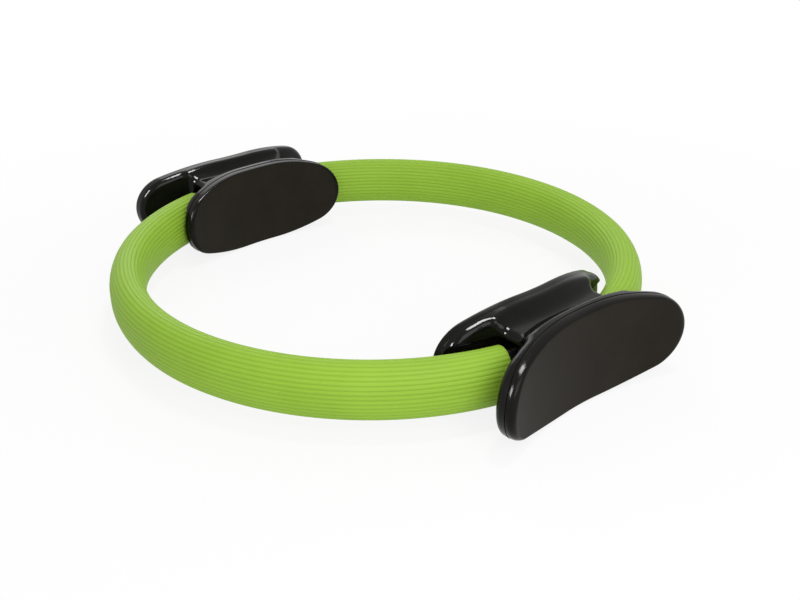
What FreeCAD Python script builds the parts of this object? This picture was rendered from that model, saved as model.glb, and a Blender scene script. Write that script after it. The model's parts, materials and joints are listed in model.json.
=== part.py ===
"""Pilates ring: a springy hoop in two foam sleeves, with a saddle-shaped handle at the front and the rear.

The ring lies flat on the lower edges of its handles. +Z is up, the front handle is at -Y, and the origin is
on the floor at the middle of the ring. Sizes are in millimetres.
"""
import FreeCAD
import Part
import Sketcher
import math
import os

# Driving dimensions
DIMENSIONS = [
    # Hoop and sleeves
    ("ring_diameter", 380.0),
    ("sleeve_depth", 24.5),
    ("sleeve_height", 37.7),
    ("sleeve_crown_radius", 10.5),
    ("sleeve_side_flat", 5.0),
    ("sleeve_drop", 1.6),
    ("band_thickness", 3.2),
    ("band_height", 26.0),
    ("flex_gap", 0.5),
    # Handles, seen from above and from the face
    ("handle_height", 66.0),
    ("outer_face_length", 165.2),
    ("inner_face_length", 148.2),
    ("face_end_radius", 27.0),
    ("face_edge_flat", 28.0),
    ("face_offset", 22.6),
    ("face_bow_radius", 197.0),
    ("back_offset", 10.0),
    ("flange_tip_thickness", 7.6),
    ("web_length", 84.6),
    ("web_height", 48.0),
    ("web_corner_radius", 10.0),
    ("rim_radius", 5.2),
    # Face pads
    ("pad_thickness", 6.8),
    ("pad_inset", 0.3),
    ("pad_edge_radius", 5.8),
    # Mouths that the sleeves end in
    ("socket_depth", 8.0),
    ("socket_lip", 5.0),
    ("socket_side_room", 3.2),
    ("mouth_width", 20.0),
    ("socket_corner_radius", 8.0),
    ("sleeve_end_gap", 4.7),
    ("band_end_room", 1.5),
    # Clamp round the hoop and its screws
    ("clamp_room", 0.1),
    ("screw_spacing_long", 44.0),
    ("screw_spacing_high", 39.6),
    ("screw_diameter", 4.0),
    ("screw_length", 19.0),
    ("screw_tip", 2.5),
    ("screw_head_diameter", 8.0),
    ("screw_head_height", 2.6),
    ("screw_head_chamfer", 0.8),
    ("screw_seat", 8.0),
    ("screw_room", 0.1),
    # Splice of the hoop's two ends
    ("hoop_end_gap", 1.0),
    ("splice_length", 56.0),
    ("splice_height", 21.0),
    ("splice_thickness", 1.5),
    ("splice_corner_radius", 3.0),
    ("splice_room", 0.3),
    ("rivet_diameter", 4.0),
    ("rivet_head_diameter", 7.5),
    ("rivet_head_height", 1.5),
    ("rivet_head_chamfer", 0.6),
    ("rivet_near", 9.0),
    ("rivet_far", 21.0),
]

# Sizes that follow from the driving dimensions
HOOP_RADIUS = "(dims.ring_diameter - dims.sleeve_depth) / 2"
HALF_WEB = "dims.web_length / 2"
HANDLE_OFFSET = f"sqrt(({HOOP_RADIUS})^2 - ({HALF_WEB})^2)"
MID_HEIGHT = "dims.handle_height / 2"
FACE_AXIS = "(dims.face_offset + dims.face_bow_radius)"
SEAM_RADIUS = "(dims.face_bow_radius + dims.pad_thickness)"
TIP_REACH = "dims.outer_face_length / 2"
SEAM_SAG = f"({SEAM_RADIUS} - sqrt({SEAM_RADIUS}^2 - ({TIP_REACH})^2))"
ROOT_THICKNESS = "(dims.face_offset - dims.pad_thickness - dims.back_offset)"
BACK_SAG = f"({ROOT_THICKNESS} + {SEAM_SAG} - dims.flange_tip_thickness)"
BACK_RADIUS = f"((({TIP_REACH})^2 + {BACK_SAG}^2) / (2 * {BACK_SAG}))"
BACK_AXIS = f"(dims.back_offset + {BACK_RADIUS})"
SOCKET_FLOOR = "(dims.web_length / 2 - dims.socket_depth)"
SOCKET_SIDE = "(dims.sleeve_depth / 2 + dims.socket_side_room)"
MOUTH_SIDE = "(dims.mouth_width / 2)"
SOCKET_TOP = "(dims.web_height / 2 - dims.socket_lip)"
SLEEVE_REACH = f"({HALF_WEB} + dims.sleeve_end_gap)"
STRIP_REACH = f"({HALF_WEB} - dims.band_end_room / 2)"
BAND_REACH = f"({HALF_WEB} + dims.band_end_room / 2)"
VALLEY_DEPTH = "((dims.handle_height - dims.web_height) / 2)"
VALLEY_RADIUS = f"((dims.back_offset^2 + {VALLEY_DEPTH}^2) / (2 * {VALLEY_DEPTH}))"
SOCKET_ANGLE = f"asin({SOCKET_FLOOR} / ({HOOP_RADIUS}))"
FLEX_ANGLE = f"asin(dims.flex_gap / 2 / ({HOOP_RADIUS}))"
SPLICE_FACE = "(dims.band_thickness / 2 + dims.splice_thickness)"

# The rim's rounding, at most a share of the valley's depth
RIM_SHARE = 0.58
RIM_RADIUS = f"min(dims.rim_radius; {RIM_SHARE} * {VALLEY_DEPTH})"

# Stock left round the handle's blank, and the swings of cuts that run out of it
TRIM_STOCK = 8.0
VALLEY_SWING = 75.0
SOCKET_SWING = 40.0

# Directions that the face of a handle half can look in, as turns about Z
AWAY_FROM_FRONT = 180.0
TOWARDS_FRONT = 0.0

# How close a point has to be to count as on a surface, and where along an edge points are tried
TOUCH = 1e-3
EDGE_SHARES = (0.1, 0.5, 0.9)

doc = FreeCAD.newDocument("pilates_ring")
sheet = doc.addObject("Spreadsheet::Sheet", "dims")
for row, (alias, number) in enumerate(DIMENSIONS, 1):
    sheet.set(f"A{row}", alias)
    sheet.set(f"B{row}", str(number))
    sheet.setAlias(f"B{row}", alias)
doc.recompute()


def value(expression):
    """Give the number that an expression of the sheet's sizes comes to."""
    result = sheet.evalExpression(expression)
    return float(getattr(result, "Value", result))


def dim(alias):
    """Give a driving dimension as an expression."""
    return f"dims.{alias}"


def origin_plane(body, role):
    for feature in body.Origin.OriginFeatures:
        if feature.Role == role:
            return feature
    raise ValueError(role)


def new_body(label, turn=0.0, y="0", z="0"):
    """Start a body that is turned about Z and stands at the given expressions."""
    body = doc.addObject("PartDesign::Body", label)
    body.Label = label
    body.Placement = FreeCAD.Placement(FreeCAD.Vector(), FreeCAD.Rotation(FreeCAD.Vector(0, 0, 1), turn))
    body.setExpression("Placement.Base.y", y)
    body.setExpression("Placement.Base.z", z)
    return body


class Drawing:
    """A sketch on one of its body's planes, drawn at size and tied to the sheet."""

    def __init__(self, body, name, role, lift=None):
        self.sketch = body.newObject("Sketcher::SketchObject", f"{body.Name}_{name}")
        self.sketch.AttachmentSupport = [(origin_plane(body, role), "")]
        self.sketch.MapMode = "FlatFace"
        if lift:
            self.sketch.setExpression("AttachmentOffset.Base.z", lift)

    def line(self, start, end):
        return self.sketch.addGeometry(Part.LineSegment(FreeCAD.Vector(*start), FreeCAD.Vector(*end)))

    def arc(self, centre, start, end):
        """Draw the shorter arc round a centre from start to end."""
        first = math.atan2(start[1] - centre[1], start[0] - centre[0])
        last = math.atan2(end[1] - centre[1], end[0] - centre[0])
        if (last - first) % math.tau > math.pi:
            first, last = last, first
        radius = math.dist(centre, start)
        circle = Part.Circle(FreeCAD.Vector(*centre), FreeCAD.Vector(0, 0, 1), radius)
        return self.sketch.addGeometry(Part.ArcOfCircle(circle, first, first + (last - first) % math.tau))

    def tie(self, kind, *references, size):
        """Add a dimension that follows an expression."""
        index = self.sketch.addConstraint(Sketcher.Constraint(kind, *references, value(size)))
        self.sketch.setExpression(f"Constraints[{index}]", size)

    def pin(self, geometry, point, x=None, y=None):
        """Hold a point at distances from the sketch's two axes."""
        for kind, axis, size in (("DistanceX", -2, x), ("DistanceY", -1, y)):
            if size is None:
                continue
            if size == "0":
                self.sketch.addConstraint(Sketcher.Constraint("PointOnObject", geometry, point, axis))
            elif value(size) > 0:
                self.tie(kind, -1, 1, geometry, point, size=size)
            else:
                self.tie(kind, geometry, point, -1, 1, size=f"-({size})")

    def join(self, first, second, smooth):
        """Join the ends of two pieces that meet."""
        ends = []
        for geometry in (first, second):
            piece = self.sketch.Geometry[geometry]
            ends.append(((1, piece.StartPoint), (2, piece.EndPoint)))
        pairs = [(a[1].distanceToPoint(b[1]), a[0], b[0]) for a in ends[0] for b in ends[1]]
        _, at_first, at_second = min(pairs)
        kind = "Tangent" if smooth else "Coincident"
        self.sketch.addConstraint(Sketcher.Constraint(kind, first, at_first, second, at_second))

    def polygon(self, corners):
        """Draw a closed outline of straight sides, its corners given as pairs of expressions."""
        points = [(value(x), value(y)) for x, y in corners]
        sides = [self.line(a, b) for a, b in zip(points, points[1:] + points[:1])]
        for first, second in zip(sides, sides[1:] + sides[:1]):
            self.join(first, second, smooth=False)
        for side, (x, y) in zip(sides, corners):
            self.pin(side, 1, x, y)
        return sides

    def rectangle(self, low_x, low_y, high_x, high_y):
        self.polygon([(low_x, low_y), (high_x, low_y), (high_x, high_y), (low_x, high_y)])

    def rounded_rectangle(self, x, half_wide, half_high, corner_radius):
        """Draw a rectangle with round corners about a point on the sketch's level axis."""
        middle, wide, high, corner = (value(size) for size in (x, half_wide, half_high, corner_radius))
        flat = wide - corner
        level = high - corner
        right, left = middle + wide, middle - wide
        inner_right, inner_left = middle + flat, middle - flat
        pieces = [
            self.line((right, -level), (right, level)),
            self.arc((inner_right, level), (right, level), (inner_right, high)),
            self.line((inner_right, high), (inner_left, high)),
            self.arc((inner_left, level), (inner_left, high), (left, level)),
            self.line((left, level), (left, -level)),
            self.arc((inner_left, -level), (left, -level), (inner_left, -high)),
            self.line((inner_left, -high), (inner_right, -high)),
            self.arc((inner_right, -level), (inner_right, -high), (right, -level)),
        ]
        for first, second in zip(pieces, pieces[1:] + pieces[:1]):
            self.join(first, second, smooth=True)
        for arc, across, up in ((1, "1", "1"), (3, "-1", "1"), (5, "-1", "-1"), (7, "1", "-1")):
            self.tie("Radius", pieces[arc], size=corner_radius)
            self.pin(pieces[arc], 3, f"{x} + {across} * ({half_wide} - {corner_radius})",
                     f"{up} * ({half_high} - {corner_radius})")

    def circle(self, x, y, radius):
        shape = Part.Circle(FreeCAD.Vector(value(x), value(y)), FreeCAD.Vector(0, 0, 1), value(radius))
        geometry = self.sketch.addGeometry(shape)
        self.tie("Radius", geometry, size=radius)
        self.pin(geometry, 3, x, y)

    def oval(self, half_long, half_high, end_radius, half_flat, upright_at=None, level="0"):
        """Draw a long oval: two flats, two round ends and four wide arcs that run from one to the other."""
        long, high, end, flat = (value(size) for size in (half_long, half_high, end_radius, half_flat))
        reach = long - end
        wide = ((reach - flat) ** 2 / (high - end) + high + end) / 2
        lean = math.hypot(reach - flat, wide - high)
        turn_x = flat + wide * (reach - flat) / lean
        turn_y = high - wide + wide * (wide - high) / lean
        centre_x = value(upright_at) if upright_at else 0.0
        centre_y = value(level)

        def at(along, across):
            return (centre_x - across, centre_y + along) if upright_at else (along, across)

        def hold(geometry, point, along, across):
            if upright_at:
                self.pin(geometry, point, f"{upright_at} - ({across})", f"{level} + ({along})")
            else:
                self.pin(geometry, point, along, across)

        pieces = [
            self.line(at(flat, high), at(-flat, high)),
            self.arc(at(-flat, high - wide), at(-flat, high), at(-turn_x, turn_y)),
            self.arc(at(-reach, 0.0), at(-turn_x, turn_y), at(-turn_x, -turn_y)),
            self.arc(at(-flat, wide - high), at(-turn_x, -turn_y), at(-flat, -high)),
            self.line(at(-flat, -high), at(flat, -high)),
            self.arc(at(flat, wide - high), at(flat, -high), at(turn_x, -turn_y)),
            self.arc(at(reach, 0.0), at(turn_x, -turn_y), at(turn_x, turn_y)),
            self.arc(at(flat, high - wide), at(turn_x, turn_y), at(flat, high)),
        ]
        for first, second in zip(pieces, pieces[1:] + pieces[:1]):
            self.join(first, second, smooth=True)
        top, bottom, left_end, right_end = pieces[0], pieces[4], pieces[2], pieces[6]
        hold(top, 1, half_flat, half_high)
        hold(top, 2, f"-({half_flat})", half_high)
        hold(bottom, 1, f"-({half_flat})", f"-({half_high})")
        hold(bottom, 2, half_flat, f"-({half_high})")
        for geometry, side in ((left_end, "-1"), (right_end, "1")):
            self.tie("Radius", geometry, size=end_radius)
            hold(geometry, 3, f"{side} * (({half_long}) - ({end_radius}))", "0")


def pad(body, name, drawing, length, both_ways=False):
    """Raise a drawing into a solid."""
    feature = body.newObject("PartDesign::Pad", f"{body.Name}_{name}")
    feature.Profile = drawing.sketch
    feature.SideType = "Symmetric" if both_ways else "One side"
    feature.setExpression("Length", length)
    doc.recompute()
    return feature


def pocket(body, name, drawing, length=None, both_ways=False, along_normal=False):
    """Cut a drawing out of the body, right through it where no length is given, and see that it cut."""
    before = body.Shape.Volume
    feature = body.newObject("PartDesign::Pocket", f"{body.Name}_{name}")
    feature.Profile = drawing.sketch
    feature.SideType = "Symmetric" if both_ways else "One side"
    feature.Reversed = along_normal
    if length:
        feature.setExpression("Length", length)
    else:
        feature.Type = "ThroughAll"
    doc.recompute()
    if body.Shape.Volume >= before:
        raise RuntimeError(f"{feature.Name} cut nothing")
    return feature


def mirrored(body, name, features, role):
    """Repeat features on the other side of one of the body's planes."""
    feature = body.newObject("PartDesign::Mirrored", f"{body.Name}_{name}")
    feature.Originals = features
    feature.MirrorPlane = (origin_plane(body, role), [""])
    body.Tip = feature
    doc.recompute()
    return feature


def rounded(body, name, wanted, radius):
    """Round the edges that a test picks out."""
    base = body.Tip
    edges = [f"Edge{i}" for i, edge in enumerate(base.Shape.Edges, 1) if wanted(edge)]
    feature = body.newObject("PartDesign::Fillet", f"{body.Name}_{name}")
    feature.Base = (base, edges)
    feature.setExpression("Radius", radius)
    doc.recompute()
    return feature


def handle_outline(body, name, length, inset="0"):
    """Trim a blank to the oval outline of the handle's face."""
    drawing = Drawing(body, name, "XZ_Plane")
    half_long = f"({length} / 2 - {inset})"
    half_high = f"(dims.handle_height / 2 - {inset})"
    drawing.oval(half_long, half_high, f"(dims.face_end_radius - {inset})", "dims.face_edge_flat / 2")
    clear_x = f"({half_long} + 2 * {TRIM_STOCK})"
    clear_z = f"({half_high} + 2 * {TRIM_STOCK})"
    drawing.rectangle(f"-{clear_x}", f"-{clear_z}", clear_x, clear_z)
    return pocket(body, f"{name}_trim", drawing, both_ways=True)


def bow(drawing, axis, radius, half_chord):
    """Draw an arc bowed about an axis on the drawing's centre line, over a chord."""
    sag = value(radius) - math.sqrt(value(radius) ** 2 - value(half_chord) ** 2)
    y = -(value(axis) - value(radius) + sag)
    reach = value(half_chord)
    geometry = drawing.arc((0.0, -value(axis)), (-reach, y), (reach, y))
    drawing.pin(geometry, 3, "0", f"-{axis}")
    drawing.tie("Radius", geometry, size=radius)
    return geometry


def shell_plan(body, length):
    """Draw a handle half from above: the web on the middle plane and the flange that bows away from it."""
    drawing = Drawing(body, "plan", "XY_Plane")
    web = value(HALF_WEB)
    corner = value(dim("web_corner_radius"))
    axis = value(BACK_AXIS)
    back = value(BACK_RADIUS)
    seam_radius = value(SEAM_RADIUS)
    half_blank = f"({length} / 2 + {TRIM_STOCK})"
    reach = value(half_blank)
    corner_x = web + corner
    corner_y = -axis + math.sqrt((back + corner) ** 2 - corner_x ** 2)
    share = back / (back + corner)
    touch = (corner_x * share, -axis + (corner_y + axis) * share)
    back_tip = -axis + math.sqrt(back ** 2 - reach ** 2)
    seam_tip = -value(FACE_AXIS) + math.sqrt(seam_radius ** 2 - reach ** 2)

    middle = drawing.line((-web, 0.0), (web, 0.0))
    drawing.pin(middle, 1, f"-({HALF_WEB})", "0")
    drawing.pin(middle, 2, HALF_WEB, "0")
    seam = bow(drawing, FACE_AXIS, SEAM_RADIUS, half_blank)
    for side, end_x in ((1.0, half_blank), (-1.0, f"-{half_blank}")):
        wall = drawing.line((side * web, 0.0), (side * web, corner_y))
        corner_start = (side * web, corner_y)
        corner_end = (side * touch[0], touch[1])
        flange_end = (side * reach, back_tip)
        round_corner = drawing.arc((side * corner_x, corner_y), corner_start, corner_end)
        flange = drawing.arc((0.0, -axis), corner_end, flange_end)
        tip = drawing.line(flange_end, (side * reach, seam_tip))
        drawing.join(middle, wall, smooth=False)
        drawing.sketch.addConstraint(Sketcher.Constraint("Vertical", wall))
        drawing.join(wall, round_corner, smooth=True)
        drawing.join(round_corner, flange, smooth=True)
        drawing.tie("Radius", round_corner, size=dim("web_corner_radius"))
        drawing.pin(flange, 3, "0", f"-{BACK_AXIS}")
        drawing.tie("Radius", flange, size=BACK_RADIUS)
        drawing.join(flange, tip, smooth=False)
        drawing.sketch.addConstraint(Sketcher.Constraint("Vertical", tip))
        drawing.pin(tip, 1, x=end_x)
        drawing.join(tip, seam, smooth=False)
    return drawing


def saddle_valley(body):
    """Cut the hollow that runs along the top and the bottom of the web between the two flanges."""
    before = body.Shape.Volume
    drawing = Drawing(body, "valley", "YZ_Plane")
    floor = "dims.web_height / 2"
    radius = VALLEY_RADIUS
    top = f"({floor} + {radius})"
    stock = f"{TRIM_STOCK}"
    for side in ("1", "-1"):
        rim = (-value(radius), float(side) * value(top))
        low = (0.0, float(side) * value(floor))
        past = (TRIM_STOCK, float(side) * value(floor))
        past_high = (TRIM_STOCK, float(side) * (value(top) + TRIM_STOCK))
        rim_high = (-value(radius), float(side) * (value(top) + TRIM_STOCK))
        trough = drawing.arc((0.0, float(side) * value(top)), rim, low)
        corners = (low, past, past_high, rim_high, rim)
        sides = [drawing.line(a, b) for a, b in zip(corners, corners[1:])]
        ring = [trough] + sides
        for first, second in zip(ring, ring[1:] + ring[:1]):
            drawing.join(first, second, smooth=False)
        drawing.pin(sides[0], 1, "0", f"{side} * {floor}")
        drawing.pin(sides[1], 1, stock, f"{side} * {floor}")
        drawing.pin(sides[2], 1, stock, f"{side} * ({top} + {stock})")
        drawing.pin(sides[3], 1, f"-{radius}", f"{side} * ({top} + {stock})")
        drawing.pin(trough, 3, "0", f"{side} * {top}")
        drawing.pin(sides[3], 2, y=f"{side} * {top}")
    axis = drawing.line((-value(BACK_AXIS), 0.0), (-value(BACK_AXIS), value(floor)))
    drawing.sketch.toggleConstruction(axis)
    drawing.pin(axis, 1, f"-{BACK_AXIS}", "0")
    drawing.pin(axis, 2, f"-{BACK_AXIS}", floor)
    feature = body.newObject("PartDesign::Groove", f"{body.Name}_valley_cut")
    feature.Profile = drawing.sketch
    feature.ReferenceAxis = (drawing.sketch, ["Axis0"])
    feature.Angle = VALLEY_SWING
    feature.Midplane = True
    doc.recompute()
    if body.Shape.Volume >= before:
        raise RuntimeError(f"{feature.Name} cut nothing")


def sockets(body, toward_centre):
    """Cut the mouths at both ends of the web, wide on the side that the sleeves curve to."""
    before = body.Shape.Volume
    drawing = Drawing(body, "socket", "YZ_Plane")
    turn = FreeCAD.Rotation(FreeCAD.Vector(0, 1, 0), value(SOCKET_ANGLE))
    drawing.sketch.AttachmentOffset = FreeCAD.Placement(FreeCAD.Vector(), turn)
    side = "1" if toward_centre else "-1"
    drawing.sketch.setExpression("AttachmentOffset.Base.x", f"-{side} * {HANDLE_OFFSET}")
    drawing.sketch.setExpression("AttachmentOffset.Rotation.Angle", SOCKET_ANGLE)
    half_wide = SOCKET_SIDE if toward_centre else MOUTH_SIDE
    drawing.rounded_rectangle(f"{side} * {HOOP_RADIUS}", half_wide, SOCKET_TOP, dim("socket_corner_radius"))
    feature = body.newObject("PartDesign::Groove", f"{body.Name}_socket_cut")
    feature.Profile = drawing.sketch
    feature.ReferenceAxis = (drawing.sketch, ["V_Axis"])
    feature.Angle = SOCKET_SWING
    doc.recompute()
    if body.Shape.Volume >= before:
        raise RuntimeError(f"{feature.Name} cut nothing")
    mirrored(body, "socket_pair", [feature], "YZ_Plane")


def band_slot(body):
    """Cut the half of the clamp that holds the hoop's strip."""
    drawing = Drawing(body, "slot", "YZ_Plane")
    half = "(dims.band_height / 2 + dims.clamp_room)"
    depth = "(dims.band_thickness / 2 + dims.clamp_room)"
    drawing.rectangle(f"-{depth}", f"-{half}", f"{TRIM_STOCK}", half)
    pocket(body, "slot_cut", drawing, both_ways=True)


def splice_recess(body, depth):
    """Cut room for the splice of the hoop's ends, to a depth from the middle plane."""
    drawing = Drawing(body, "recess", "XZ_Plane")
    half_long = "(dims.splice_length / 2 + dims.splice_room)"
    half_high = "(dims.splice_height / 2 + dims.splice_room)"
    drawing.rectangle(f"-{half_long}", f"-{half_high}", half_long, half_high)
    pocket(body, "recess_cut", drawing, length=depth, along_normal=True)


def screw_bores(body, name, radius, lift=None, length=None):
    """Bore the four screw places, from the middle plane or from a lift above it."""
    drawing = Drawing(body, name, "XZ_Plane", lift=lift)
    for side in ("1", "-1"):
        for level in ("1", "-1"):
            x = f"{side} * dims.screw_spacing_long / 2"
            z = f"{level} * dims.screw_spacing_high / 2"
            drawing.circle(x, z, radius)
    pocket(body, f"{name}_cut", drawing, length=length, along_normal=True)


def is_shell_rim(edge, length):
    """Tell whether an edge runs round the back of the flange or along the lip of a mouth."""
    half = value(length) / 2
    points = [edge.valueAt(edge.FirstParameter + (edge.LastParameter - edge.FirstParameter) * share)
              for share in EDGE_SHARES]
    mid_plane = all(abs(point.y) < TOUCH for point in points)
    seam = all(abs(math.hypot(point.x, point.y + value(FACE_AXIS)) - value(SEAM_RADIUS)) < TOUCH
               for point in points)
    if mid_plane or seam:
        return False
    on_outline = all(outline_gap(point, half) < TOUCH for point in points)
    over_socket = all(abs(point.z) > value("dims.web_height / 2") - TOUCH for point in points)
    at_mouth = all(abs(point.x) > value(HALF_WEB) - TOUCH for point in points)
    return on_outline or (over_socket and at_mouth)


def outline_gap(point, half_long):
    """Give how far a point lies from the side wall of the handle's outline."""
    high = value("dims.handle_height / 2")
    end = value(dim("face_end_radius"))
    flat = value("dims.face_edge_flat / 2")
    reach = half_long - end
    wide = ((reach - flat) ** 2 / (high - end) + high + end) / 2
    x = abs(point.x)
    z = abs(point.z)
    gaps = [abs(math.hypot(x - reach, z) - end)]
    gaps.append(abs(math.hypot(max(x - flat, 0.0), z - high + wide) - wide))
    return min(gaps)


def handle_shell(label, length, turn, y, is_inner, splice_depth=None):
    """Mould one half of a handle: web, flange, sockets, clamp and screw bores."""
    body = new_body(label, turn, y, MID_HEIGHT)
    blank_height = f"dims.handle_height + 2 * {TRIM_STOCK}"
    pad(body, "blank", shell_plan(body, length), blank_height, both_ways=True)
    handle_outline(body, "outline", length)
    saddle_valley(body)
    rounded(body, "rim", lambda edge: is_shell_rim(edge, length), RIM_RADIUS)
    sockets(body, toward_centre=is_inner)
    band_slot(body)
    if splice_depth:
        splice_recess(body, splice_depth)
    bore = "(dims.screw_diameter / 2 + dims.screw_room)"
    if is_inner:
        screw_bores(body, "bores", bore)
        screw_bores(body, "seats", "(dims.screw_head_diameter / 2 + dims.screw_room)", lift=dim("screw_seat"))
    else:
        screw_bores(body, "bores", bore, length="dims.screw_length - dims.screw_seat + dims.screw_tip")
    return body


def face_pad(label, length, turn, y):
    """Mould the soft pad that covers the face of a handle half."""
    body = new_body(label, turn, y, MID_HEIGHT)
    half_blank = f"({length} / 2 + {TRIM_STOCK})"
    drawing = Drawing(body, "plan", "XY_Plane")
    face = bow(drawing, FACE_AXIS, "dims.face_bow_radius", half_blank)
    seam = bow(drawing, FACE_AXIS, SEAM_RADIUS, half_blank)
    for side, end_x in ((1, half_blank), (-1, f"-{half_blank}")):
        ends = []
        for geometry in (face, seam):
            piece = drawing.sketch.Geometry[geometry]
            ends.append(max((piece.StartPoint, piece.EndPoint), key=lambda point: side * point.x))
        tip = drawing.line(tuple(ends[0])[:2], tuple(ends[1])[:2])
        drawing.sketch.addConstraint(Sketcher.Constraint("Vertical", tip))
        drawing.pin(tip, 1, x=end_x)
        drawing.join(face, tip, smooth=False)
        drawing.join(tip, seam, smooth=False)
    pad(body, "blank", drawing, f"dims.handle_height + 2 * {TRIM_STOCK}", both_ways=True)
    handle_outline(body, "outline", length, inset=dim("pad_inset"))

    def on_face(edge):
        points = [edge.valueAt(edge.FirstParameter), edge.valueAt(edge.LastParameter)]
        radii = [math.hypot(point.x, point.y + value(FACE_AXIS)) for point in points]
        return all(abs(radius - value(dim("face_bow_radius"))) < TOUCH for radius in radii)

    rounded(body, "edge", on_face, dim("pad_edge_radius"))
    return body


def quarter(name, kind, reach, draw):
    """Sweep a section a quarter of the way round the hoop, from a mouth to the flex line at the side."""
    mouth = f"asin({reach} / ({HOOP_RADIUS}))"
    starts = {
        "right_rear": FLEX_ANGLE,
        "left_rear": f"90 deg + {mouth}",
        "left_front": f"180 deg + {FLEX_ANGLE}",
        "right_front": f"270 deg + {mouth}",
    }
    body = new_body(f"{name}_{kind}", z=MID_HEIGHT)
    body.setExpression("Placement.Rotation.Angle", starts[name])
    drawing = Drawing(body, "section", "XZ_Plane")
    draw(drawing)
    feature = body.newObject("PartDesign::Revolution", f"{body.Name}_sweep")
    feature.Profile = drawing.sketch
    feature.ReferenceAxis = (drawing.sketch, ["V_Axis"])
    feature.setExpression("Angle", f"90 deg - {mouth} - {FLEX_ANGLE}")
    doc.recompute()
    return body


def band_section(drawing):
    half_thick = "dims.band_thickness / 2"
    half_high = "dims.band_height / 2"
    drawing.rectangle(f"{HOOP_RADIUS} - {half_thick}", f"-({half_high})",
                      f"{HOOP_RADIUS} + {half_thick}", half_high)


def sleeve_section(drawing):
    """Draw the foam's oval, a little low on the strip, with the channel that grips it."""
    drawing.oval("dims.sleeve_height / 2", "dims.sleeve_depth / 2", dim("sleeve_crown_radius"),
                 "dims.sleeve_side_flat / 2", upright_at=HOOP_RADIUS, level="-dims.sleeve_drop")
    band_section(drawing)


def strip(label, y, low_x, high_x, rivet_places=()):
    """Make a straight run of the hoop's strip inside a handle, with its rivet holes."""
    body = new_body(label, y=y, z=MID_HEIGHT)
    drawing = Drawing(body, "outline", "XZ_Plane")
    drawing.rectangle(low_x, "-dims.band_height / 2", high_x, "dims.band_height / 2")
    pad(body, "run", drawing, dim("band_thickness"), both_ways=True)
    if rivet_places:
        rivet_holes(body, rivet_places)
    return body


def rivet_holes(body, places):
    drawing = Drawing(body, "holes", "XZ_Plane")
    for place in places:
        drawing.circle(place, "0", "dims.rivet_diameter / 2")
    pocket(body, "holes_cut", drawing, both_ways=True)


def splice_plate(label, y, rivet_places):
    """Make the plate that bridges the hoop's two ends on their outer face."""
    body = new_body(label, y=f"{y} - dims.band_thickness / 2", z=MID_HEIGHT)
    drawing = Drawing(body, "outline", "XZ_Plane")
    half_long = "dims.splice_length / 2"
    half_high = "dims.splice_height / 2"
    drawing.rectangle(f"-{half_long}", f"-{half_high}", half_long, half_high)
    pad(body, "plate", drawing, dim("splice_thickness"))
    thickness = value(dim("splice_thickness"))
    rounded(body, "corners", lambda edge: abs(edge.Length - thickness) < TOUCH, dim("splice_corner_radius"))
    rivet_holes(body, rivet_places)
    return body


def turned_piece(label, corners):
    """Turn a fastener about Y from half of its profile."""
    body = new_body(label)
    drawing = Drawing(body, "profile", "XY_Plane")
    drawing.polygon(corners)
    feature = body.newObject("PartDesign::Revolution", f"{body.Name}_turn")
    feature.Profile = drawing.sketch
    feature.ReferenceAxis = (drawing.sketch, ["V_Axis"])
    feature.Angle = 360.0
    doc.recompute()
    return body


def shell_screw(label):
    """Turn a pan-head screw whose head seats on the inner shell, at +Y."""
    head = "dims.screw_head_diameter / 2"
    shank = "dims.screw_diameter / 2"
    seat = dim("screw_seat")
    crown = "dims.screw_seat + dims.screw_head_height"
    tip = "dims.screw_seat - dims.screw_length"
    return turned_piece(label, [
        ("0", crown),
        ("0", tip),
        (f"{shank} / 2", tip),
        (shank, f"{tip} + dims.screw_tip"),
        (shank, seat),
        (head, seat),
        (head, f"{crown} - dims.screw_head_chamfer"),
        (f"{head} - dims.screw_head_chamfer", crown),
    ])


def splice_rivet(label):
    """Turn a rivet that clamps the strip and the plate between its two heads."""
    head = "dims.rivet_head_diameter / 2"
    shank = "dims.rivet_diameter / 2"
    inner = "dims.band_thickness / 2"
    outer = f"-{SPLICE_FACE}"
    bevel = "dims.rivet_head_chamfer"
    inner_top = f"{inner} + dims.rivet_head_height"
    outer_top = f"{outer} - dims.rivet_head_height"
    return turned_piece(label, [
        ("0", inner_top),
        ("0", outer_top),
        (f"{head} - {bevel}", outer_top),
        (head, f"{outer_top} + {bevel}"),
        (head, outer),
        (shank, outer),
        (shank, inner),
        (head, inner),
        (head, f"{inner_top} - {bevel}"),
        (f"{head} - {bevel}", inner_top),
    ])


def group(label, body, places, turn, y):
    """Set copies of one fastener at their places in a handle."""
    copies = []
    for x, z in places:
        copy = body.Shape.copy()
        copy.translate(FreeCAD.Vector(x, 0, z))
        copies.append(copy)
    feature = doc.addObject("Part::Feature", label)
    feature.Label = label
    feature.Shape = Part.makeCompound(copies)
    spin = FreeCAD.Rotation(FreeCAD.Vector(0, 0, 1), turn)
    feature.Placement = FreeCAD.Placement(FreeCAD.Vector(0, value(y), value(MID_HEIGHT)), spin)
    return feature


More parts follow.
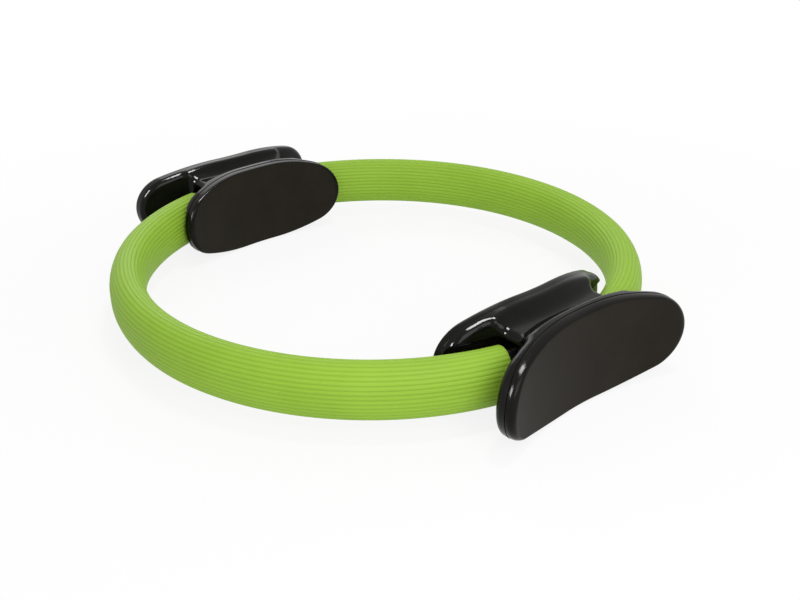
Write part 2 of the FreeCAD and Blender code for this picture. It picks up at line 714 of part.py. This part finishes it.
# Handles
FRONT = f"-({HANDLE_OFFSET})"
REAR = HANDLE_OFFSET
HEAD_TOP = "dims.rivet_head_height + dims.splice_room"
pieces = [
    handle_shell("front_outer_shell", dim("outer_face_length"), TOWARDS_FRONT, FRONT, False,
                 splice_depth=f"{SPLICE_FACE} + {HEAD_TOP}"),
    handle_shell("front_inner_shell", dim("inner_face_length"), AWAY_FROM_FRONT, FRONT, True,
                 splice_depth=f"dims.band_thickness / 2 + {HEAD_TOP}"),
    handle_shell("rear_outer_shell", dim("outer_face_length"), AWAY_FROM_FRONT, REAR, False),
    handle_shell("rear_inner_shell", dim("inner_face_length"), TOWARDS_FRONT, REAR, True),
    face_pad("front_outer_pad", dim("outer_face_length"), TOWARDS_FRONT, FRONT),
    face_pad("front_inner_pad", dim("inner_face_length"), AWAY_FROM_FRONT, FRONT),
    face_pad("rear_outer_pad", dim("outer_face_length"), AWAY_FROM_FRONT, REAR),
    face_pad("rear_inner_pad", dim("inner_face_length"), TOWARDS_FRONT, REAR),
]

# Hoop: the spliced ends in the front handle, the run through the rear one and the four quarters between
half_gap = "dims.hoop_end_gap / 2"
right_rivets = ["dims.rivet_near", "dims.rivet_far"]
left_rivets = ["-dims.rivet_near", "-dims.rivet_far"]
pieces += [
    strip("hoop_left_end", FRONT, f"-{STRIP_REACH}", f"-{half_gap}", left_rivets),
    strip("hoop_right_end", FRONT, half_gap, STRIP_REACH, right_rivets),
    strip("rear_hoop_run", REAR, f"-{STRIP_REACH}", STRIP_REACH),
    splice_plate("splice_plate", FRONT, left_rivets + right_rivets),
]
for name in ("left_front", "left_rear", "right_front", "right_rear"):
    pieces.append(quarter(name, "sleeve", SLEEVE_REACH, sleeve_section))
    pieces.append(quarter(name, "band", BAND_REACH, band_section))

# Fasteners
screw = shell_screw("shell_screw")
rivet = splice_rivet("splice_rivet")
half_x = value("dims.screw_spacing_long / 2")
half_z = value("dims.screw_spacing_high / 2")
screw_places = [(x, z) for x in (-half_x, half_x) for z in (-half_z, half_z)]
rivet_places = [(value(place), 0.0) for place in left_rivets + right_rivets]
pieces += [
    group("front_shell_screws", screw, screw_places, TOWARDS_FRONT, FRONT),
    group("rear_shell_screws", screw, screw_places, AWAY_FROM_FRONT, REAR),
    group("splice_rivets", rivet, rivet_places, TOWARDS_FRONT, FRONT),
]

# Everything has to be sound before any of it is written
doc.recompute()
for item in doc.Objects:
    faults = {"Invalid", "Error"} & set(item.State)
    if faults:
        raise RuntimeError(f"{item.Name}: {faults}")
for piece in pieces:
    if piece.Shape.isNull() or not piece.Shape.isValid():
        raise RuntimeError(f"{piece.Label} has no valid shape")
os.makedirs("parts", exist_ok=True)
for piece in pieces:
    piece.Shape.exportStep(f"parts/{piece.Label}.step")
    print(piece.Label, round(piece.Shape.Volume, 1), len(piece.Shape.Solids), len(piece.Shape.Faces))
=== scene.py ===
"""Looks of a pilates ring: ribbed foam sleeves on a springy hoop, and padded saddle handles.

Lengths are in metres, in the part's frame: +Z up, the front handle at -Y, and the floor at z = 0.
"""
import json
import math

import bmesh
import bpy
import numpy as np
from mathutils import Matrix, Vector

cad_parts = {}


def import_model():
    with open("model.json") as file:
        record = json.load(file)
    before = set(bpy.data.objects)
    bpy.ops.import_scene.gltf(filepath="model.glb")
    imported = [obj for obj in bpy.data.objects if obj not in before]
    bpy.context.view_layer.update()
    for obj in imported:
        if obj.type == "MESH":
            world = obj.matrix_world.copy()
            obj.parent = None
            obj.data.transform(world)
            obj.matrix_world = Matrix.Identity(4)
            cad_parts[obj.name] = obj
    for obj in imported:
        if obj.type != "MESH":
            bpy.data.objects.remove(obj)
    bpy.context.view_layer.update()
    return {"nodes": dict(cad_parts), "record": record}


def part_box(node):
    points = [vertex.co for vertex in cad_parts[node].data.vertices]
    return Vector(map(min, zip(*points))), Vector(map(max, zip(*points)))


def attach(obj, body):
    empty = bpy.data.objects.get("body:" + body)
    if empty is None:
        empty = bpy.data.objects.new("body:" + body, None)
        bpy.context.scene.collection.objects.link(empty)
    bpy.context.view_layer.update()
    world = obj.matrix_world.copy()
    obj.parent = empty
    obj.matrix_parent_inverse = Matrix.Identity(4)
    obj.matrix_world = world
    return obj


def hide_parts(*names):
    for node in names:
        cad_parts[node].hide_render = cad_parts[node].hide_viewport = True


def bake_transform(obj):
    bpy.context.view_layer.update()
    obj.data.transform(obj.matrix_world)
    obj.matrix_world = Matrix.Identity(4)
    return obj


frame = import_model()
nodes = frame["nodes"]

# Hoop and sleeves
SLEEVE_DEPTH = 0.0245
SLEEVE_CROWN_RADIUS = 0.0105
SLEEVE_SIDE_FLAT = 0.005
SLEEVE_REACH = 0.047
SLEEVE_END_ROUND = 0.0016
SLEEVE_STEPS = 180
RIB_COUNT = 34
RIB_DEPTH = 0.00038
RIB_SHARPNESS = 1.3
POINTS_PER_RIB = 12
STRIP_REACH = 0.04305
BAND_THICKNESS = 0.0032
BAND_HEIGHT = 0.026
ROUND_STEPS = 6

# Face pads
FACE_OFFSET = 0.0226
FACE_BOW_RADIUS = 0.197
FACE_END_RADIUS = 0.0267
FACE_EDGE_FLAT = 0.028
PAD_THICKNESS = 0.0068
PAD_EDGE_INSET = {"outer": 0.0022, "inner": 0.0012}
PAD_END_INSET = {"outer": 0.0070, "inner": 0.0050}
PAD_EDGE_DEPTH = {"outer": 0.0056, "inner": 0.0028}
PAD_BACK_RADIUS = 0.0004
PAD_CROWN = 0.0003
PAD_POINTS = 192
PAD_RINGS = 14
PAD_EDGE_STEPS = 12
PAD_RIM_STEPS = 3

# Colours of each material, at the low and the high end of its noise
FOAM_COLOURS = ((0.288, 0.490, 0.042), (0.319, 0.529, 0.051))
PLASTIC_COLOURS = ((0.0036, 0.0036, 0.0029), (0.0056, 0.0054, 0.0044))
RUBBER_COLOURS = ((0.0132, 0.0109, 0.0072), (0.0180, 0.0151, 0.0104))
FIBRE_COLOURS = ((0.010, 0.010, 0.010), (0.022, 0.021, 0.020))
STEEL_COLOURS = ((0.50, 0.51, 0.53), (0.64, 0.65, 0.67))
NOISE_MIDDLE = (0.3, 0.7)

# Painted shade that darkens the foam's grooves, and a shade that darkens the pads' rims
GROOVE_PAINTED_SHADE = (0.81, 0.85, 0.72)
RIM_SHADE = (0.50, 0.55, 0.66)

# Surroundings, and a floor that turns whiter away from the ring
WHITE = (1.0, 1.0, 1.0, 1.0)
FLOOR_HALF = 6.0
FLOOR_DROP = 0.0002
FLOOR_COLOUR = (0.90, 0.90, 0.90, 1.0)
FLOOR_ROUGHNESS = 0.9
SHADOW_REACH = (0.2, 0.55)
SHADOW_WHITENESS = (0.86, 1.0)
WORLD_LEVEL = 0.47

# Camera, as the photograph was taken, with angles in degrees and the lens and sensor in millimetres
VIEW_AZIMUTH = -39.96
VIEW_ELEVATION = 24.488
VIEW_DISTANCE = 0.75963
AIM_YAW = 1.3945
AIM_PITCH = 26.55
AIM_ROLL = -0.232
LENS = 46.548
SENSOR_WIDTH = 36.0

low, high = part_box("left_front_sleeve")
SLEEVE_LEVEL = (low.z + high.z) / 2
SLEEVE_HEIGHT = high.z - low.z
HOOP_RADIUS = -low.x - SLEEVE_DEPTH / 2
low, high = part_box("left_front_band")
HANDLE_LEVEL = (low.z + high.z) / 2


# Outlines and meshes

def long_oval(half_long, half_high, end_radius, half_flat, count):
    """Evenly spaced points and outward normals round an oval of flats, wide arcs and round ends."""
    reach = half_long - end_radius
    wide = ((reach - half_flat) ** 2 / (half_high - end_radius) + half_high + end_radius) / 2
    turn = math.atan2(wide - half_high, reach - half_flat)
    over = np.linspace(math.pi / 2, turn, count)
    round_end = np.linspace(turn, 0.0, count)
    angles = np.concatenate([[math.pi / 2], over, round_end])
    normals = np.column_stack([np.cos(angles), np.sin(angles)])
    centres = np.concatenate([
        [[0.0, half_high - wide]],
        np.tile([half_flat, half_high - wide], (count, 1)),
        np.tile([reach, 0.0], (count, 1)),
    ])
    radii = np.concatenate([[wide], np.full(count, wide), np.full(count, end_radius)])
    points = centres + normals * radii[:, None]
    # The other quarters mirror the first, and every second one runs backwards
    quarters = [((1, 1), 1), ((1, -1), -1), ((-1, -1), 1), ((-1, 1), -1)]
    points = np.concatenate([(points * signs)[::step] for signs, step in quarters])
    normals = np.concatenate([(normals * signs)[::step] for signs, step in quarters])
    lengths = np.concatenate([[0.0], np.cumsum(np.linalg.norm(np.diff(points, axis=0), axis=1))])
    stations = np.arange(count) / count * lengths[-1]
    points = np.column_stack([np.interp(stations, lengths, column) for column in points.T])
    normals = np.column_stack([np.interp(stations, lengths, column) for column in normals.T])
    return points, normals / np.linalg.norm(normals, axis=1)[:, None]


def quarter_round(inset, depth, steps=ROUND_STEPS):
    """Steps of inset and depth round an edge, from the side of a piece to its face."""
    angles = np.linspace(0.0, math.pi / 2, steps)
    return [(inset * (1 - math.cos(a)), depth * (1 - math.sin(a))) for a in angles]


def add_object(name, data):
    """Put a mesh, a lamp or a camera in the scene."""
    added = bpy.data.objects.new(name, data)
    bpy.context.scene.collection.objects.link(added)
    return added


def mesh_object(name, vertices, faces):
    """Make a smooth closed mesh whose faces look outwards."""
    mesh = bpy.data.meshes.new(name)
    mesh.from_pydata([tuple(vertex) for vertex in vertices], [], faces)
    shape = bmesh.new()
    shape.from_mesh(mesh)
    bmesh.ops.recalc_face_normals(shape, faces=shape.faces)
    shape.to_mesh(mesh)
    shape.free()
    mesh.shade_smooth()
    return add_object(name, mesh)


def ring_faces(ring_count, ring_size):
    """Quads between each ring of points and the next."""
    faces = []
    for ring in range(ring_count - 1):
        start = ring * ring_size
        following = start + ring_size
        for point in range(ring_size):
            after = (point + 1) % ring_size
            faces.append((start + point, start + after, following + after, following + point))
    return faces


def closed_tube(name, rings):
    """Skin a row of rings and close both ends with a fan."""
    ring_count, ring_size = rings.shape[:2]
    vertices = list(rings.reshape(-1, 3))
    faces = ring_faces(ring_count, ring_size)
    for ring, forward in ((0, False), (ring_count - 1, True)):
        centre = len(vertices)
        vertices.append(rings[ring].mean(axis=0))
        for point in range(ring_size):
            edge = (ring * ring_size + point, ring * ring_size + (point + 1) % ring_size)
            faces.append((edge if forward else edge[::-1]) + (centre,))
    return mesh_object(name, vertices, faces)


def keep_values(piece, name, values):
    """Keep a value at each point of a tube's rings, with zero at the centres of its fans."""
    kept = np.zeros(len(piece.data.vertices), np.float32)
    kept[:len(values)] = values
    attribute = piece.data.attributes.new(name, "FLOAT", "POINT")
    attribute.data.foreach_set("value", kept)


# Materials

def new_material(name, specular=0.5, metallic=0.0):
    """A material, with its node tree and its main shader."""
    material = bpy.data.materials.new(name)
    material.use_nodes = True
    tree = material.node_tree
    shader = tree.nodes["Principled BSDF"]
    shader.inputs["Specular IOR Level"].default_value = specular
    shader.inputs["Metallic"].default_value = metallic
    return material, tree, shader


def noise(tree, scale, detail, roughness=0.5, stretch=None):
    """A noise in the piece's own frame."""
    coordinates = tree.nodes.new("ShaderNodeTexCoord")
    texture = tree.nodes.new("ShaderNodeTexNoise")
    texture.inputs["Scale"].default_value = scale
    texture.inputs["Detail"].default_value = detail
    texture.inputs["Roughness"].default_value = roughness
    source = coordinates.outputs["Object"]
    if stretch:
        mapping = tree.nodes.new("ShaderNodeMapping")
        mapping.inputs["Scale"].default_value = stretch
        tree.links.new(source, mapping.inputs["Vector"])
        source = mapping.outputs["Vector"]
    tree.links.new(source, texture.inputs["Vector"])
    return texture.outputs["Fac"]


def kept_value(tree, name):
    """A value that is kept at the points of the mesh."""
    node = tree.nodes.new("ShaderNodeAttribute")
    node.attribute_name = name
    return node.outputs["Fac"]


def two_colours(tree, source, colours, over=NOISE_MIDDLE):
    """Turn a range of a noise into a blend from one colour to another."""
    node = tree.nodes.new("ShaderNodeValToRGB")
    for element, place, colour in zip(node.color_ramp.elements, over, colours):
        element.position = place
        element.color = (*colour, 1.0)
    tree.links.new(source, node.inputs["Fac"])
    return node.outputs["Color"]


def darkened(tree, colour, mask, shade):
    """Multiply a colour by a shade where a mask is one."""
    node = tree.nodes.new("ShaderNodeMix")
    node.data_type = "RGBA"
    node.blend_type = "MULTIPLY"
    node.inputs["B"].default_value = (*shade, 1.0)
    tree.links.new(mask, node.inputs["Factor"])
    tree.links.new(colour, node.inputs["A"])
    return node.outputs["Result"]


def spread(tree, source, values, over=NOISE_MIDDLE):
    """Turn a range of a source into a range of values."""
    node = tree.nodes.new("ShaderNodeMapRange")
    for socket, value in zip(("From Min", "From Max", "To Min", "To Max"), (*over, *values)):
        node.inputs[socket].default_value = value
    tree.links.new(source, node.inputs["Value"])
    return node.outputs["Result"]


def bump(tree, source, strength, height, under=None):
    """A surface that rises with a source, on top of another bump if there is one."""
    node = tree.nodes.new("ShaderNodeBump")
    node.inputs["Strength"].default_value = strength
    node.inputs["Distance"].default_value = height
    tree.links.new(source, node.inputs["Height"])
    if under is not None:
        tree.links.new(under, node.inputs["Normal"])
    return node.outputs["Normal"]


def connect(tree, shader, **sources):
    """Let sources drive a shader's colour, roughness and surface."""
    sockets = {"colour": "Base Color", "roughness": "Roughness", "surface": "Normal"}
    for name, source in sources.items():
        tree.links.new(source, shader.inputs[sockets[name]])


def foam_material():
    """Lime green closed-cell foam, satin, with painted shade darkening its grooves."""
    material, tree, shader = new_material("ribbed_foam", specular=0.18)
    cloud = noise(tree, scale=26.0, detail=4.0)
    pores = noise(tree, scale=1500.0, detail=2.0)
    colour = two_colours(tree, cloud, FOAM_COLOURS)
    # Painted shade: the colour is darkened in the grooves between the ribs
    colour = darkened(tree, colour, kept_value(tree, "groove"), GROOVE_PAINTED_SHADE)
    roughness = spread(tree, cloud, values=(0.46, 0.58))
    surface = bump(tree, pores, strength=0.25, height=0.0002)
    surface = bump(tree, cloud, strength=0.1, height=0.0008, under=surface)
    connect(tree, shader, colour=colour, roughness=roughness, surface=surface)
    return material


def shell_material():
    """Glossy black moulded plastic with faint handling marks."""
    material, tree, shader = new_material("moulded_black", specular=0.12)
    haze = noise(tree, scale=55.0, detail=5.0, roughness=0.6)
    peel = noise(tree, scale=420.0, detail=2.0)
    colour = two_colours(tree, haze, PLASTIC_COLOURS, over=(0.35, 0.75))
    roughness = spread(tree, haze, values=(0.08, 0.13))
    surface = bump(tree, peel, strength=0.10, height=0.0003)
    connect(tree, shader, colour=colour, roughness=roughness, surface=surface)
    return material


def rubber_material():
    """Soft matte rubber, warm black, with a fine grain, a few paler scuffs and a smooth dark rim."""
    material, tree, shader = new_material("soft_rubber", specular=0.08)
    scuffs = noise(tree, scale=38.0, detail=6.0, roughness=0.65)
    grain = noise(tree, scale=2200.0, detail=2.0)
    rim = kept_value(tree, "rim")
    colour = two_colours(tree, scuffs, RUBBER_COLOURS, over=(0.35, 0.72))
    colour = darkened(tree, colour, rim, RIM_SHADE)
    roughness = spread(tree, rim, values=(0.52, 0.12), over=(0.0, 1.0))
    surface = bump(tree, grain, strength=0.30, height=0.00015)
    surface = bump(tree, scuffs, strength=0.08, height=0.0006, under=surface)
    connect(tree, shader, colour=colour, roughness=roughness, surface=surface)
    return material


def strip_material():
    """Glass-fibre strip: black resin with fine streaks."""
    material, tree, shader = new_material("glass_fibre")
    streaks = noise(tree, scale=900.0, detail=3.0, stretch=(0.05, 0.05, 1.0))
    colour = two_colours(tree, streaks, FIBRE_COLOURS, over=(0.35, 0.65))
    roughness = spread(tree, streaks, values=(0.35, 0.5))
    connect(tree, shader, colour=colour, roughness=roughness)
    return material


def steel_material():
    """Zinc-plated steel with fine turning marks."""
    material, tree, shader = new_material("zinc_steel", metallic=1.0)
    marks = noise(tree, scale=1200.0, detail=3.0)
    colour = two_colours(tree, marks, STEEL_COLOURS)
    roughness = spread(tree, marks, values=(0.25, 0.4))
    connect(tree, shader, colour=colour, roughness=roughness)
    return material


foam = foam_material()
black_plastic = shell_material()
rubber = rubber_material()
fibre = strip_material()
steel = steel_material()


# Sleeves and the strip inside them

def rib_profile():
    """The foam's section as (along Z, across the hoop), its normals, and its grooves from 0 to 1."""
    count = RIB_COUNT * POINTS_PER_RIB
    points, normals = long_oval(SLEEVE_HEIGHT / 2, SLEEVE_DEPTH / 2, SLEEVE_CROWN_RADIUS,
                                SLEEVE_SIDE_FLAT / 2, count)
    phase = np.arange(count) / POINTS_PER_RIB
    groove = (1 - np.abs(np.sin(math.pi * phase))) ** RIB_SHARPNESS
    return points - normals * (groove * RIB_DEPTH)[:, None], normals, groove


def swept(section, level, angles):
    """Rings of points of a section carried round the hoop at a level."""
    radius = HOOP_RADIUS + section[:, 1]
    height = level + section[:, 0]
    rings = [np.column_stack([radius * math.cos(a), radius * math.sin(a), height]) for a in angles]
    return np.array(rings)


def side_angles(side, reach, setback=0.0):
    """Angles round the hoop from the front mouth to the rear one, on the left or the right."""
    limit = math.acos(reach / HOOP_RADIUS) - setback / HOOP_RADIUS
    angles = np.linspace(-limit, limit, SLEEVE_STEPS)
    return math.pi - angles if side == "left" else angles


def across_flex(piece, side, kind):
    """Fix a piece that spans the side of the hoop in place, and hide the two rigid halves that it
    replaces.
    """
    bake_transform(piece)
    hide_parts(f"{side}_front_{kind}", f"{side}_rear_{kind}")


def foam_sleeve(side):
    """The foam on one side of the hoop, ribbed along its length, with softly rounded ends."""
    section, normals, groove = rib_profile()
    ends = []
    for inset, setback in quarter_round(SLEEVE_END_ROUND, SLEEVE_END_ROUND)[::-1]:
        angles = side_angles(side, SLEEVE_REACH, setback)
        ends.append(swept(section - normals * inset, SLEEVE_LEVEL, angles[[0, -1]]))
    between = side_angles(side, SLEEVE_REACH, SLEEVE_END_ROUND)[1:-1]
    body = swept(section, SLEEVE_LEVEL, between)
    rings = np.concatenate([[end[0] for end in ends], body, [end[1] for end in ends[::-1]]])
    piece = closed_tube(f"{side}_sleeve", rings)
    keep_values(piece, "groove", np.tile(groove, len(rings)))
    piece.data.materials.append(foam)
    across_flex(piece, side, "sleeve")


def hoop_strip(side):
    """The flat springy strip on one side of the hoop, inside the foam."""
    corners = np.array([(-1, -1), (-1, 1), (1, 1), (1, -1)]) * (BAND_HEIGHT / 2, BAND_THICKNESS / 2)
    rings = swept(corners, HANDLE_LEVEL, side_angles(side, STRIP_REACH))
    piece = closed_tube(f"{side}_strip", rings)
    piece.data.shade_flat()
    piece.data.materials.append(fibre)
    across_flex(piece, side, "band")


for hoop_side in ("left", "right"):
    foam_sleeve(hoop_side)
    hoop_strip(hoop_side)


# Face pads

def pad_layers(half_long, half_high, side):
    """Outlines of a flat pad with their depths: those of its face, then those of its edge and back."""
    points, normals = long_oval(half_long, half_high, FACE_END_RADIUS, FACE_EDGE_FLAT / 2, PAD_POINTS)
    more_at_ends = PAD_END_INSET[side] - PAD_EDGE_INSET[side]
    broad = PAD_EDGE_INSET[side] + more_at_ends * normals[:, :1] ** 2
    edge = [(points - normals * broad * share, depth)
            for share, depth in quarter_round(1.0, PAD_EDGE_DEPTH[side], PAD_EDGE_STEPS)[::-1]]
    foot = [(points - normals * inset, PAD_THICKNESS - depth)
            for inset, depth in quarter_round(PAD_BACK_RADIUS, PAD_BACK_RADIUS)]
    shares = np.linspace(0.0, 1.0, PAD_RINGS + 1)[1:-1]
    face = [(edge[0][0] * share, -PAD_CROWN * (1 - share ** 2)) for share in shares]
    back = [(foot[-1][0] * share, PAD_THICKNESS) for share in shares[::-1]]
    return face, edge + foot + back


def bowed(layers, middle, outward):
    """Rings of points of a pad bent to a handle's face, which looks along +Y or -Y."""
    axis = FACE_OFFSET + FACE_BOW_RADIUS
    rings = []
    for outline, depth in layers:
        along, height = outline.T
        away = axis - np.sqrt((FACE_BOW_RADIUS + depth) ** 2 - along ** 2)
        rings.append(np.column_stack([along, middle + outward * away, HANDLE_LEVEL + height]))
    rings = np.array(rings)
    return rings[:, ::-1] if outward > 0 else rings


def face_pad(end, side):
    """A soft pad bowed to the handle's face, crowned a little, with a rounded edge."""
    node = f"{end}_{side}_pad"
    low_corner, high_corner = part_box(node)
    half_long = (high_corner.x - low_corner.x) / 2
    half_high = (high_corner.z - low_corner.z) / 2
    face, edge_and_back = pad_layers(half_long, half_high, side)
    inner_low, inner_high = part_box(f"{end}_inner_shell")
    middle = inner_low.y if end == "front" else inner_high.y
    outward = -1.0 if (end == "front") == (side == "outer") else 1.0
    rings = bowed(face + edge_and_back, middle, outward)
    piece = closed_tube(f"{end}_{side}_face_pad", rings)
    rim = np.clip((np.arange(len(rings)) - len(face)) / PAD_RIM_STEPS, 0.0, 1.0)
    keep_values(piece, "rim", np.repeat(rim, PAD_POINTS))
    piece.data.materials.append(rubber)
    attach(piece, f"{end}_handle")
    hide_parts(node)
    return piece


handles = bpy.data.collections.new("handles")
for handle_end in ("front", "rear"):
    for handle_side in ("outer", "inner"):
        handles.objects.link(face_pad(handle_end, handle_side))
        handles.objects.link(nodes[f"{handle_end}_{handle_side}_shell"])


# Pieces that keep their solids
FINISHES = {
    "shell_plastic": black_plastic,
    "pad_rubber": rubber,
    "sleeve_foam": foam,
    "hoop_strip": fibre,
    "fastener_steel": steel,
}
for subpart in frame["record"]["subparts"]:
    solid = nodes[subpart["node"]]
    for material_slot in solid.material_slots:
        material_slot.material = FINISHES[subpart["material_slot"]]


# Floor, light and camera

def combined(tree, operation, first, second):
    """One value worked out from two."""
    node = tree.nodes.new("ShaderNodeMath")
    node.operation = operation
    tree.links.new(first, node.inputs[0])
    tree.links.new(second, node.inputs[1])
    return node.outputs["Value"]


def direct_rays(tree):
    """One for rays from the camera, mirrored or passed through, and zero for scattered light."""
    path = tree.nodes.new("ShaderNodeLightPath")
    seen = combined(tree, "MAXIMUM", path.outputs["Is Camera Ray"], path.outputs["Is Glossy Ray"])
    return combined(tree, "MAXIMUM", seen, path.outputs["Is Transmission Ray"])


def floor_material():
    """A pale surface that looks white and keeps the ring's shadow."""
    material, tree, shader = new_material("pale_floor", specular=0.0)
    shader.inputs["Base Color"].default_value = FLOOR_COLOUR
    shader.inputs["Roughness"].default_value = FLOOR_ROUGHNESS
    place = tree.nodes.new("ShaderNodeTexCoord")
    away = tree.nodes.new("ShaderNodeVectorMath")
    away.operation = "LENGTH"
    tree.links.new(place.outputs["Object"], away.inputs[0])
    whiteness = spread(tree, away.outputs["Value"], SHADOW_WHITENESS, over=SHADOW_REACH)
    glow = tree.nodes.new("ShaderNodeEmission")
    glow.inputs["Color"].default_value = WHITE
    mix = tree.nodes.new("ShaderNodeMixShader")
    tree.links.new(combined(tree, "MULTIPLY", direct_rays(tree), whiteness), mix.inputs["Fac"])
    tree.links.new(shader.outputs["BSDF"], mix.inputs[1])
    tree.links.new(glow.outputs["Emission"], mix.inputs[2])
    tree.links.new(mix.outputs["Shader"], tree.nodes["Material Output"].inputs["Surface"])
    return material


def floor():
    """A wide floor just under the ring."""
    mesh = bpy.data.meshes.new("floor")
    corners = [(x * FLOOR_HALF, y * FLOOR_HALF, -FLOOR_DROP)
               for x, y in ((-1, -1), (1, -1), (1, 1), (-1, 1))]
    mesh.from_pydata(corners, [], [(0, 1, 2, 3)])
    mesh.materials.append(floor_material())
    plane = add_object("floor", mesh)


def world():
    """Even white surroundings: full white to the camera, softer as light."""
    surroundings = bpy.data.worlds.new("studio")
    surroundings.use_nodes = True
    tree = surroundings.node_tree
    back = tree.nodes["Background"]
    back.inputs["Color"].default_value = WHITE
    level = spread(tree, direct_rays(tree), values=(WORLD_LEVEL, 1.0), over=(0.0, 1.0))
    tree.links.new(level, back.inputs["Strength"])
    bpy.context.scene.world = surroundings


def lamp(name, place, size, power):
    """A rectangular lamp aimed at the ring."""
    data = bpy.data.lights.new(name, "AREA")
    data.shape = "RECTANGLE"
    data.size, data.size_y = size
    data.energy = power
    light = add_object(name, data)
    light.location = place
    towards_ring = Vector((0.0, 0.0, HANDLE_LEVEL)) - Vector(place)
    light.rotation_mode = "QUATERNION"
    light.rotation_quaternion = towards_ring.to_track_quat("-Z", "Y")
    return light


def gleam(name, place, size, power):
    """A lamp that only shows as a reflection in the handles."""
    light = lamp(name, place, size, power)
    light.visible_diffuse = False
    light.light_linking.receiver_collection = handles


def direction(heading, pitch):
    """A unit vector at a heading, from +Y towards +X, and at a pitch downwards, both in degrees."""
    heading = math.radians(heading)
    pitch = math.radians(pitch)
    flat = math.cos(pitch)
    return Vector((math.sin(heading) * flat, math.cos(heading) * flat, -math.sin(pitch)))


def camera():
    """Stand where the photograph was taken from, and aim a little off the ring's centre."""
    data = bpy.data.cameras.new("camera")
    data.lens = LENS
    data.sensor_width = SENSOR_WIDTH
    viewer = add_object("camera", data)
    centre = Vector((0.0, 0.0, SLEEVE_LEVEL))
    place = centre - direction(-VIEW_AZIMUTH, VIEW_ELEVATION) * VIEW_DISTANCE
    forward = direction(AIM_YAW - VIEW_AZIMUTH, AIM_PITCH)
    right = forward.cross(Vector((0.0, 0.0, 1.0))).normalized()
    up = right.cross(forward)
    roll = math.radians(AIM_ROLL)
    tilted_right = right * math.cos(roll) + up * math.sin(roll)
    tilted_up = tilted_right.cross(forward)
    turn = Matrix((tilted_right, tilted_up, -forward)).transposed()
    viewer.matrix_world = Matrix.Translation(place) @ turn.to_4x4()
    bpy.context.scene.camera = viewer


floor()
world()
lamp("top", place=(0.0, -0.35, 1.35), size=(0.24, 0.065), power=3.9)
lamp("front", place=(-0.35, -0.80, 0.60), size=(0.6, 0.6), power=4.7)
lamp("rear", place=(0.35, 0.80, 0.60), size=(0.6, 0.6), power=2.2)
gleam("top_gleam", place=(0.0, 0.0, 1.6), size=(0.6, 0.7), power=84.0)
gleam("left_gleam", place=(-1.3, 0.25, 0.75), size=(0.45, 0.5), power=50.0)
camera()
bpy.context.scene.view_settings.view_transform = "Standard"
